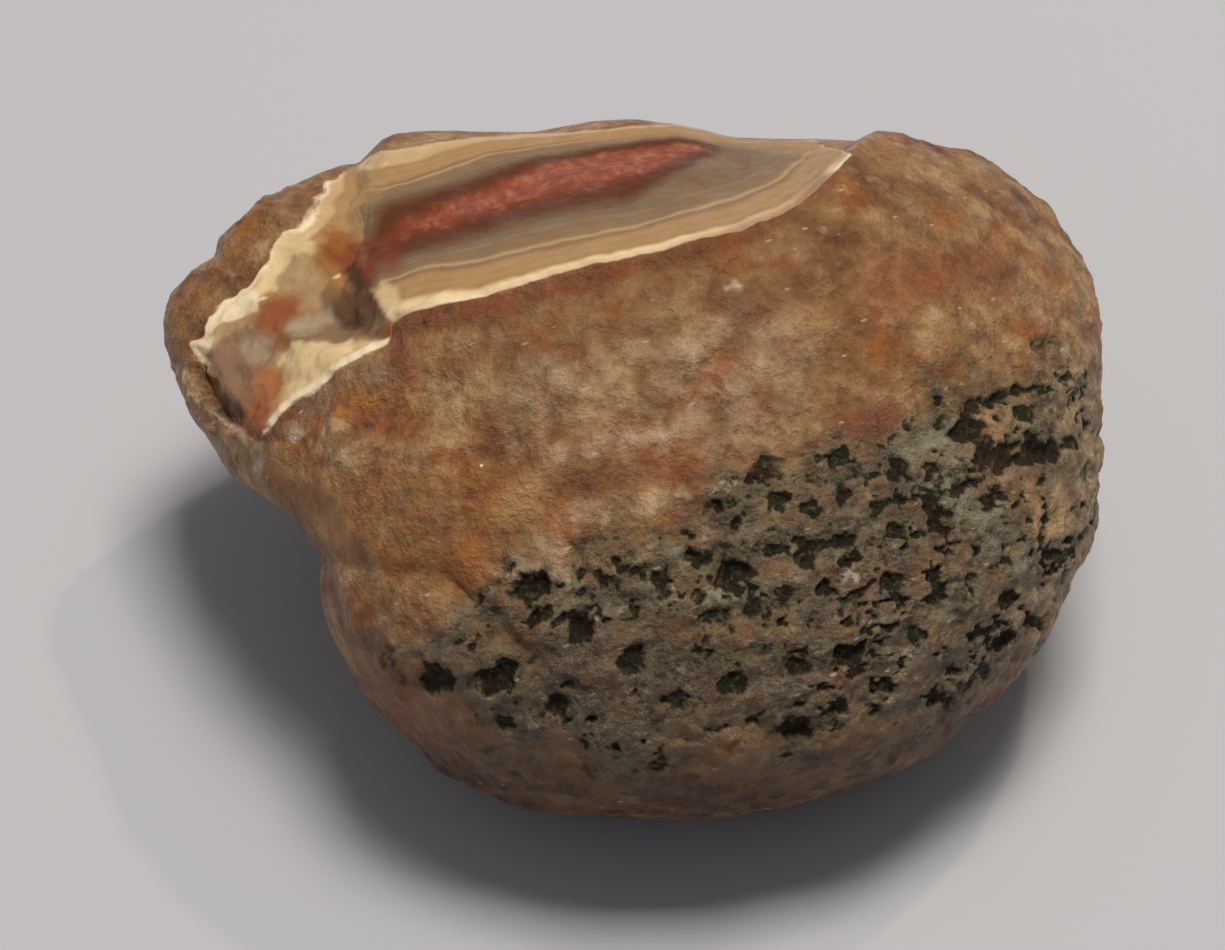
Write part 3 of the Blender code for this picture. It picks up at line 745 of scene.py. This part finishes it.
BREAK_WASHES = [
    ([(-19.3, 18.5), (-17.6, 19.1), (-15.2, 19), (-15.9, 17.4), (-18, 15.9), (-19.7, 14.9), (-20.8, 15.2),
      (-20, 16.6)], .8, "tan", .6),
    ([(-22.2, 14), (-20.1, 14.2), (-18.9, 13.4), (-17.8, 11.7), (-18.9, 10.6), (-21.4, 10.2),
      (-22.6, 10.9), (-22.7, 12)], 1.2, "straw", .8),
    ([(-17, 11.8), (-16.1, 10.5), (-15.2, 9.4), (-15.7, 8.2), (-17.2, 8.4), (-17.6, 9.9)], .5, "brown", .85),
    ([(-21.6, 9.4), (-20.1, 10.1), (-18.7, 10.5), (-17.2, 9.4), (-17.4, 8.6), (-18, 8.2), (-19.7, 8),
      (-21.4, 7.6), (-22, 8.2)], 1, "smoke", .9),
    ([(-22.2, 8.2), (-21.4, 8.3), (-19.7, 8.1), (-17.8, 8.2), (-15.9, 8.3), (-17.2, 7.5), (-19.5, 6.1),
      (-21.2, 5), (-22.2, 4), (-22.8, 3.1), (-22.2, 5), (-22.4, 6.5)], .35, "cream", .92),
    ([(-26.8, 7.3), (-26.1, 8.2), (-25.1, 9.1), (-23.7, 9.2), (-22.9, 8.2), (-22.9, 6.5), (-22.8, 5),
      (-23.2, 2.9), (-24.3, 3.3), (-25.6, 4.4), (-26.1, 5.4)], .5, "mauve", .8),
    ([(-26.7, 9.9), (-25.8, 10.9), (-24.3, 11.4), (-23.6, 11.1), (-23.7, 10.3), (-24.5, 9.9), (-25.6, 9.5),
      (-26.1, 9.2), (-26.8, 8.6)], .25, "milk", .9),
    ([(-26.7, 8.6), (-26.1, 9.2), (-24.5, 9.8), (-23.7, 10.2), (-24.3, 9.2), (-25.4, 9), (-26.1, 8.2)],
     .5, "straw", .85),
    ([(-27.9, 7.9), (-27.1, 8.5), (-26.5, 7.8), (-26.9, 6.8), (-27.5, 6.9)], .2, "milk", .95),
    ([(-22.2, 14.9), (-21.4, 15.1), (-20.2, 14.6), (-20.3, 13.9), (-21.4, 13.8), (-22.2, 14)],
     .5, "cream", .85),
    ([(-22.2, 14.9), (-21.4, 13.8), (-22.5, 13), (-22.7, 11.5), (-23.6, 11.4), (-24.2, 11.6), (-23.7, 12.4),
      (-23.1, 13.2), (-22.7, 14.1)], .4, "cream", .85),
    ([(-16.4, 11.4), (-15.9, 12.1), (-15, 11.6), (-14.5, 10.3), (-15.1, 9.4), (-15.6, 10.1), (-16.1, 10.7)],
     .6, "cream", .8),
]
BREAK_LINES = [
    ([(-19.3, 18.4), (-20.1, 16.6), (-21, 15.3)], .14, .2, "milk", .85),
    ([(-15.8, 8.3), (-17.2, 7.6), (-18.4, 6.8), (-19.5, 6.1), (-20.3, 5.5), (-21.6, 4.6), (-22.3, 3.9),
      (-22.8, 3.1)], .2, .12, "milk", .95),
    ([(-18.75, 12.3)], .16, .1, "cream", .9),
]


def linear(code, alpha=1.0):
    """A sRGB hex colour as linear numbers, the form that shaders work in."""
    parts = [int(code[i : i + 2], 16) / 255 for i in (1, 3, 5)]
    return (*(p / 12.92 if p <= 0.04045 else ((p + 0.055) / 1.055) ** 2.4 for p in parts), alpha)


def lay_on(stain, mineral, amount):
    """One coat over the last ones. The fourth number of a stain is how strongly its coats cover."""
    cover = stain[:, 3] * (1 - amount) + amount
    share = np.divide(amount, cover, out=np.zeros(len(cover)), where=cover > 1e-6)[:, None]
    coat = np.array(linear(MINERALS[mineral])[:3])
    return np.column_stack([stain[:, :3] * (1 - share) + coat * share, cover])


def dab(stain, u, v, dabs):
    """Lay on each dab: full strength up to its radius from the line, fading out over its margin."""
    for line, radius, margin, mineral, strength in dabs:
        away = distance_to_line(u, v, line if len(line) > 1 else 2 * line)
        stain = lay_on(stain, mineral, strength * ease(radius + margin, radius, away))
    return stain


def wash(stain, u, v, washes):
    """Lay on each wash: it fills its outline, with a margin that straddles the edge."""
    for outline, margin, mineral, strength in washes:
        inside = distance_inside(u, v, outline)
        stain = lay_on(stain, mineral, strength * ease(-margin / 2, margin / 2, inside))
    return stain


rough_u, rough_v = [wobble(bare, (0.7, 1.1), (0.45, 0.42), seeds) for seeds in ((43, 44), (45, 46))]
near_u, near_v = [wobble(bare, (0.32, 1.0), (0.16, 0.4), seeds) for seeds in ((47, 48), (49, 50))]
near_u, near_v = u + near_u * torn, v + near_v * torn
stain = dab(np.zeros((len(u), 4)), u + rough_u, v + rough_v, RIND_DABS)
stain = wash(stain, near_u, near_v, BREAK_WASHES)
stain = dab(stain, near_u, near_v, BREAK_DABS)
stain = dab(stain, u + wander_u, v + wander_v, BREAK_LINES)
stain[:, 3] *= faces_us
print("dabs:", len(RIND_DABS + BREAK_DABS + BREAK_LINES), "washes:", len(BREAK_WASHES))

# %% [markdown]
# ## Hand the markings to the material
#
# Attributes carry a number or a colour on every point of the mesh. They ride with the mesh, whatever the
# camera does, and the material reads them by name.

# %% Store the attributes
pit_fill = np.clip(pit_depth / 0.3 + 0.45 * strata, 0.0, 1.0)
rows = np.column_stack([*along_rows(x, y), z]) / (3.0, 1.0, 1.5)
sloped = np.column_stack([x, y, 0.37 * z])
markings = (
    ("banding", "FLOAT", "value", place), ("opened", "FLOAT", "value", opened),
    ("pit", "FLOAT", "value", pit_fill), ("pit_field", "FLOAT", "value", pit_field * faces_us),
    ("rows", "FLOAT_VECTOR", "vector", rows), ("sloped", "FLOAT_VECTOR", "vector", sloped),
    ("stain", "FLOAT_COLOR", "color", stain),
)
for name, kind, field, values in markings:
    attribute = agate.data.attributes.new(name, kind, "POINT")
    attribute.data.foreach_set(field, values.astype(np.float32).ravel())
print("attributes:", [marking[0] for marking in markings])

# %% [markdown]
# ## One helper for materials
#
# A material is a tree of nodes. This one function adds a node, sets it and links it, for every kind.

# %% Add a node
def add(tree, kind, settings=(), links=(), stops=(), out=0):
    """Add a node and hand back one of its outputs.

    A key of settings or links is an input's name or number, or one of the node's own settings. The first
    two stops are the ramp's ends.
    """
    node = tree.nodes.new("ShaderNode" + kind)
    for key, value in dict(settings).items():
        if isinstance(key, str) and hasattr(node, key):
            setattr(node, key, value)
        else:
            node.inputs[key].default_value = value
    for key, socket in dict(links).items():
        tree.links.new(socket, node.inputs[key])
    for i, (position, code) in enumerate(stops):
        stop = node.color_ramp.elements[i] if i < 2 else node.color_ramp.elements.new(position)
        stop.position = position
        stop.color = linear(code)
    return node.outputs[out]


# %% [markdown]
# ## Chalcedony, worn in a river and broken open
#
# Chalcedony has the IOR of quartz, 1.54, and a waxy shine: light goes a little way in and comes out warm.
# The rind is mottled brown. The bands go from cream through tan and smoky brown to dark red and a grainy
# red core. The pits hold celadonite and iron clay, nearly black, in ground stained grey and olive.
# Patches are a few millimetres across, streaks and crystals under one.

# %% The colours of each zone
CLOUDY = {"Detail": 5.0, "Roughness": 0.62}
STREAKY = {"Detail": 5.0, "Roughness": 0.75}
COLOURS = {"data_type": "RGBA"}
SHADING = {"data_type": "RGBA", "blend_type": "MULTIPLY"}
COLOUR_OUT = 2


def elsewhere(tree, where, seed):
    """A link to the same coordinates, shifted so that each noise reads a fresh part of its pattern."""
    shift = (seed * 17.0, seed * 29.0, seed * 11.0)
    return {"Vector": add(tree, "VectorMath", {"operation": "ADD", 1: shift}, {0: where})}


def rind_colour(tree, mm):
    """The mottled brown of the worn rind, with rusty, olive and frosted patches."""
    tone = add(tree, "TexNoise", {**CLOUDY, "Scale": 1 / 4.0, "Roughness": 0.58}, elsewhere(tree, mm, 1.0))
    tone = add(tree, "ValToRGB", {}, {0: tone}, stops=[
        (0.30, "#674629"), (0.70, "#b29369"), (0.42, "#825e3a"), (0.50, "#926e48"), (0.58, "#a17f56"),
    ])
    for seed, size, start, strength, code in (
        (2.0, 3.2, 0.52, 0.65, "#96591f"), (3.0, 3.0, 0.55, 0.65, "#7a482e"),
        (4.0, 3.5, 0.56, 0.5, "#7b6740"), (5.0, 1.8, 0.57, 0.5, "#b0917a"),
    ):
        where = add(tree, "TexNoise", {**CLOUDY, "Scale": 1 / size}, elsewhere(tree, mm, seed))
        where = add(tree, "MapRange", {1: start, 2: start + 0.1, 4: strength}, {0: where})
        tone = add(tree, "Mix", {**COLOURS, 7: linear(code)}, {0: where, 6: tone}, out=COLOUR_OUT)
    return tone


def ground_colour(tree, mm, rows):
    """The ground of the pit field: grey, olive and red-brown in turn, with pale and dark streaks on it."""
    stains = {**CLOUDY, "Scale": 1 / 1.6, "Roughness": 0.7}
    ground = add(tree, "TexNoise", stains, elsewhere(tree, rows, 11.0))
    ground = add(tree, "ValToRGB", {}, {0: ground}, stops=[
        (0.36, "#573f33"), (0.66, "#786440"), (0.44, "#5e5048"), (0.50, "#67553d"), (0.57, "#766e60"),
    ])
    pale = add(tree, "TexNoise", {**STREAKY, "Scale": 1 / 0.9}, elsewhere(tree, mm, 12.0))
    pale = add(tree, "MapRange", {1: 0.54, 2: 0.66, 4: 0.75}, {0: pale})
    ground = add(tree, "Mix", {**COLOURS, 7: linear("#a89f86")}, {0: pale, 6: ground}, out=COLOUR_OUT)
    dark = add(tree, "TexNoise", {**STREAKY, "Scale": 1 / 0.8}, elsewhere(tree, rows, 13.0))
    dark = add(tree, "MapRange", {1: 0.49, 2: 0.60, 4: 0.88}, {0: dark})
    return add(tree, "Mix", {**COLOURS, 7: linear("#231c13")}, {0: dark, 6: ground}, out=COLOUR_OUT)


BANDS = [
    (0.0, "milk"), (1.0, "carnelian"), (0.06, "cream"), (0.085, "tan"), (0.21, "tan"), (0.26, "dun"),
    (0.28, "straw"), (0.31, "dun"), (0.42, "smoke"), (0.52, "brown"), (0.57, "oxblood"), (0.64, "oxblood"),
    (0.70, "brick"), (0.76, "carnelian"),
]


def band_colour(tree, mm, sloped, place):
    """The bands, from the rind inwards. The core's grains are drawn long, because their face slopes away."""
    bend = add(tree, "TexNoise", {"Scale": 1 / 5.0, "Detail": 2.0}, {"Vector": mm})
    place = add(tree, "Math", {"operation": "MULTIPLY_ADD", 1: 0.06}, {0: bend, 2: place})
    place = add(tree, "Math", {"operation": "MULTIPLY_ADD", 1: 0.7, 2: -0.021}, {0: place})
    bands = add(tree, "ValToRGB", {}, {0: place}, stops=[(at, MINERALS[mineral]) for at, mineral in BANDS])
    lamella = add(tree, "TexNoise", {"noise_dimensions": "1D", "Scale": 34.0, "Detail": 2.0}, {"W": place})
    lines = add(tree, "MapRange", {1: 0.3, 2: 0.7, 3: 0.92, 4: 1.07}, {0: lamella})
    bands = add(tree, "Mix", {**SHADING, 0: 1.0}, {6: bands, 7: lines}, out=COLOUR_OUT)
    core = add(tree, "MapRange", {1: 0.62, 2: 0.76}, {0: place})
    grains = add(tree, "TexNoise", {"Scale": 1 / 0.8, "Detail": 4.0, "Roughness": 0.65}, {"Vector": sloped})
    light = add(tree, "MapRange", {1: 0.50, 2: 0.66, 4: 0.75}, {0: grains})
    light = add(tree, "Math", {"operation": "MULTIPLY"}, {0: light, 1: core})
    bands = add(tree, "Mix", {**COLOURS, 7: linear(MINERALS["grain"])}, {0: light, 6: bands}, out=COLOUR_OUT)
    dark = add(tree, "MapRange", {1: 0.46, 2: 0.34, 4: 0.5}, {0: grains})
    dark = add(tree, "Math", {"operation": "MULTIPLY"}, {0: dark, 1: core})
    return add(tree, "Mix", {**COLOURS, 7: linear(MINERALS["oxblood"])}, {0: dark, 6: bands}, out=COLOUR_OUT)


def pit_colour(tree, mm):
    """The fill of the pits: green-black celadonite, brown-black iron clay."""
    fill = add(tree, "TexNoise", {**CLOUDY, "Scale": 1 / 1.8}, elsewhere(tree, mm, 21.0))
    crystals = add(tree, "TexNoise", {**CLOUDY, "Scale": 1 / 0.4}, elsewhere(tree, mm, 22.0))
    crystals = add(tree, "MapRange", {1: 0.55, 2: 0.66, 4: 0.5}, {0: crystals})
    fill = add(tree, "ValToRGB", {}, {0: fill}, stops=[
        (0.34, "#1c1910"), (0.66, "#38211a"), (0.44, "#28281a"), (0.52, "#150f0a"), (0.58, "#2a1a12"),
    ])
    return add(tree, "Mix", {**COLOURS, 7: linear("#6a6648")}, {0: crystals, 6: fill}, out=COLOUR_OUT)


# %% [markdown]
# ## The stone's one material
#
# The zones are laid over each other: rind and pit field, then bands, stains, painted shade in the skin's
# hollows, painted glints and pits. The skin is waxy where gravel polished it and duller in its hollows.
# Filled pits are dull, and the broken faces shine less than the rind. The pores are drawn at 0.2 mm, coarser
# than real ones, so that they show.

# %% Put the zones together
def river_worn_chalcedony():
    """Chalcedony knocked round by gravel: a waxy skin full of bruises, with smooth broken faces on it."""
    material = bpy.data.materials.new("river_worn_chalcedony")
    material.use_nodes = True
    tree = material.node_tree
    shader = tree.nodes["Principled BSDF"]
    mm = add(tree, "VectorMath", {"operation": "SCALE", 3: 1 / MM}, {0: add(tree, "TexCoord", out="Object")})
    banding, opened, pit, pit_field, rows, sloped, stain, cover = (
        add(tree, "Attribute", {"attribute_name": name}, out=out) for name, out in (
            ("banding", "Fac"), ("opened", "Fac"), ("pit", "Fac"), ("pit_field", "Fac"),
            ("rows", "Vector"), ("sloped", "Vector"), ("stain", "Color"), ("stain", "Alpha"),
        )
    )
    opened = add(tree, "MapRange", {1: -0.05, 2: 0.05}, {0: opened})
    worn = add(tree, "Math", {"operation": "SUBTRACT", 0: 1.0}, {1: opened})

    warp = add(tree, "TexNoise", {"Scale": 1 / 1.6, "Detail": 1.0}, {"Vector": mm}, out="Color")
    warp = add(tree, "VectorMath", {"operation": "MULTIPLY_ADD", 1: (1.4, 1.4, 1.4)}, {0: warp, 2: mm})
    knocks = add(tree, "TexVoronoi", {"Scale": 1 / 2.0}, {"Vector": warp})
    knocks = add(tree, "MapRange", {1: 0.15, 2: 0.75, 3: 1.0, 4: 0.0}, {0: knocks})
    lumps = add(tree, "TexNoise", {**CLOUDY, "Scale": 1 / 0.75, "Roughness": 0.68}, elsewhere(tree, mm, 31.0))
    lumps = add(tree, "MapRange", {1: 0.3, 2: 0.7}, {0: lumps})
    skin = add(tree, "Math", {"operation": "MULTIPLY", 1: 0.45}, {0: knocks})
    skin = add(tree, "Math", {"operation": "MULTIPLY_ADD", 1: 0.55}, {0: lumps, 2: skin})

    ragged = add(tree, "TexNoise", {**CLOUDY, "Scale": 1 / 2.8}, elsewhere(tree, mm, 41.0))
    ragged = add(tree, "MapRange", {1: 0.40, 2: 0.52, 3: 0.6}, {0: ragged})
    field = add(tree, "Math", {"operation": "MULTIPLY"}, {0: pit_field, 1: ragged})
    ground = ground_colour(tree, mm, rows)
    colour = add(tree, "Mix", COLOURS, {0: field, 6: rind_colour(tree, mm), 7: ground}, out=COLOUR_OUT)

    patchy = add(tree, "MapRange", {1: 0.30, 2: 0.60, 3: 0.45}, {0: skin})
    patchy = add(tree, "Math", {"operation": "MAXIMUM"}, {0: patchy, 1: opened})
    cover = add(tree, "Math", {"operation": "MULTIPLY"}, {0: cover, 1: patchy})
    bands = band_colour(tree, mm, sloped, banding)
    colour = add(tree, "Mix", COLOURS, {0: opened, 6: colour, 7: bands}, out=COLOUR_OUT)
    colour = add(tree, "Mix", COLOURS, {0: cover, 6: colour, 7: stain}, out=COLOUR_OUT)

    # Painted shade: the colour is darkened in the skin's hollows and kept full on its lumps, much less so on
    # the broken faces.
    shade = add(tree, "ValToRGB", {}, {0: skin}, stops=[
        (0.10, "#c4b29e"), (0.90, "#ffffff"), (0.5, "#e4ddd4"),
    ])
    strength = add(tree, "MapRange", {3: 1.0, 4: 0.25}, {0: opened})
    colour = add(tree, "Mix", SHADING, {0: strength, 6: colour, 7: shade}, out=COLOUR_OUT)
    lift = add(tree, "MapRange", {3: 1.42, 4: 1.1}, {0: opened})
    colour = add(tree, "VectorMath", {"operation": "SCALE"}, {0: colour, 3: lift})

    # Painted glints: tiny pale specks in the worn rind's colour stand in for sparkles of light.
    near_cell = add(tree, "TexVoronoi", {"Scale": 1 / 0.55}, {"Vector": rows})
    chosen = near_cell.node.outputs["Color"]
    near_cell = add(tree, "MapRange", {1: 0.10, 2: 0.20, 3: 0.7, 4: 0.0}, {0: near_cell})
    chosen = add(tree, "Math", {"operation": "GREATER_THAN", 1: 0.78}, {0: chosen})
    painted_glint = add(tree, "Math", {"operation": "MULTIPLY"}, {0: near_cell, 1: chosen})
    painted_glint = add(tree, "Math", {"operation": "MULTIPLY"}, {0: painted_glint, 1: worn})
    colour = add(tree, "Mix", {**COLOURS, 7: linear("#cdb697")}, {0: painted_glint, 6: colour}, out=COLOUR_OUT)

    crumble = add(tree, "TexNoise", {**STREAKY, "Scale": 1 / 0.9, "Detail": 6.0}, elsewhere(tree, mm, 51.0))
    crumble = add(tree, "Math", {"operation": "MULTIPLY_ADD", 1: 2.6, 2: -1.22}, {0: crumble})
    depth = add(tree, "Math", {"operation": "ADD"}, {0: crumble, 1: pit})
    depth = add(tree, "Math", {"operation": "MULTIPLY"}, {0: depth, 1: pit_field})
    rim = add(tree, "MapRange", {1: 0.10, 2: 0.30, 4: 0.45}, {0: depth})
    colour = add(tree, "Mix", {**COLOURS, 7: linear("#857a5a")}, {0: rim, 6: colour}, out=COLOUR_OUT)
    filled = add(tree, "MapRange", {1: 0.30, 2: 0.75, 4: 0.95}, {0: depth})
    colour = add(tree, "Mix", COLOURS, {0: filled, 6: colour, 7: pit_colour(tree, mm)}, out=COLOUR_OUT)
    tree.links.new(colour, shader.inputs["Base Color"])

    shine = add(tree, "MapRange", {1: 0.25, 2: 0.75, 3: 0.45, 4: 0.22}, {0: skin})
    shine = add(tree, "Math", {"operation": "MULTIPLY_ADD", 1: 0.25}, {0: filled, 2: shine})
    tree.links.new(shine, shader.inputs["Roughness"])
    rough = add(tree, "MapRange", {3: 1.0, 4: 0.25}, {0: opened})
    coarse = add(tree, "Bump", {"Distance": 0.5 * MM}, {"Strength": rough, "Height": skin})
    pores = add(tree, "TexNoise", {"Scale": 1 / 0.2, "Detail": 2.0}, {"Vector": mm})
    normal = add(tree, "Bump", {"Strength": 0.4, "Distance": 0.05 * MM}, {"Height": pores, "Normal": coarse})
    tree.links.new(normal, shader.inputs["Normal"])
    waxy = add(tree, "MapRange", {3: 0.38, 4: 0.1}, {0: opened})
    dull = add(tree, "MapRange", {3: 1.0, 4: 0.25}, {0: filled})
    waxy = add(tree, "Math", {"operation": "MULTIPLY"}, {0: waxy, 1: dull})
    tree.links.new(waxy, shader.inputs["Specular IOR Level"])
    shader.inputs["IOR"].default_value = 1.54
    shader.inputs["Subsurface Weight"].default_value = 0.15
    shader.inputs["Subsurface Radius"].default_value = (1.0, 0.5, 0.28)
    shader.inputs["Subsurface Scale"].default_value = 0.5 * MM
    return material


agate.data.materials.append(river_worn_chalcedony())
print("nodes in the stone's material:", len(agate.data.materials[0].node_tree.nodes))

# %% [markdown]
# ## Floor, light and camera
#
# A plain pale floor and soft light let the stone speak. The main light hangs almost straight above, a
# little to the right, so the shadow lies under the stone's left side. The sky fills in only a little,
# which keeps the underside dark.

# %% The floor
def matte_paper():
    """Pale uncoated paper, as it is pressed: even and without a shine."""
    material = bpy.data.materials.new("matte_paper")
    material.use_nodes = True
    shader = material.node_tree.nodes["Principled BSDF"]
    shader.inputs["Base Color"].default_value = linear("#b9bbc1")
    shader.inputs["Roughness"].default_value = 0.9
    shader.inputs["Specular IOR Level"].default_value = 0.2
    return material


FLOOR_SIZE = 3.0
bpy.ops.mesh.primitive_plane_add(size=FLOOR_SIZE, location=(0, 0, 0))
floor = bpy.context.object
floor.name = "floor"
floor.data.materials.append(matte_paper())

# %% [markdown]
# Every lamp aims at the middle of the stone's face. Each is a place, a size, a power in watts and a colour.

# %% The lights
scene = bpy.context.scene
scene.view_settings.view_transform = "Standard"
scene.world = bpy.data.worlds.new("soft_room")
scene.world.use_nodes = True
sky = scene.world.node_tree.nodes["Background"]
sky.inputs["Color"].default_value = linear("#eeeef0")
sky.inputs["Strength"].default_value = 0.24

LAMPS = {
    "main_light": ((0.08, 0.0, 0.76), 0.24, 4.9, "#fff8ee"),
    "glint_light": ((0.25, 0.3, 0.7), 0.03, 0.7, "#fff1dc"),
    "fill_light": ((-0.5, -0.5, 0.4), 0.5, 0.2, "#f4f4ff"),
}
for name, (location, size, watts, code) in LAMPS.items():
    lamp = bpy.data.objects.new(name, bpy.data.lights.new(name, "AREA"))
    lamp.data.size = size
    lamp.data.energy = watts
    lamp.data.color = linear(code)[:3]
    lamp.location = location
    lamp.rotation_euler = (Vector(face_middle) - Vector(location)).to_track_quat("-Z", "Y").to_euler()
    scene.collection.objects.link(lamp)
print("lights:", list(LAMPS))

# %% [markdown]
# The camera stands straight out from the face and shows it at 15.75 pixels to the millimetre.

# %% The camera
IMAGE_WIDTH, IMAGE_HEIGHT = 1225, 950
FACE_MIDDLE_PX = (632, 470)
PX_PER_MM = 15.75
SENSOR = 36.0

camera = bpy.data.objects.new("camera", bpy.data.cameras.new("camera"))
camera.data.sensor_width = SENSOR
camera.data.lens = SENSOR * VIEW_DISTANCE * PX_PER_MM / IMAGE_WIDTH
camera.data.shift_x = (IMAGE_WIDTH / 2 - FACE_MIDDLE_PX[0]) / IMAGE_WIDTH
camera.data.shift_y = (FACE_MIDDLE_PX[1] - IMAGE_HEIGHT / 2) / IMAGE_WIDTH
camera.data.clip_start = 0.01
back = Vector((0, -math.sin(LEAN_BACK), math.cos(LEAN_BACK)))
camera.location = Vector(face_middle) + back * VIEW_DISTANCE * MM
camera.rotation_euler = (math.pi / 2 - LEAN_BACK, 0, 0)
scene.collection.objects.link(camera)
scene.camera = camera
print("lens:", round(camera.data.lens, 1), "mm")

# %% [markdown]
# ## Finish
#
# The last cell brings the scene up to date.

# %% Finish
bpy.context.view_layer.update()
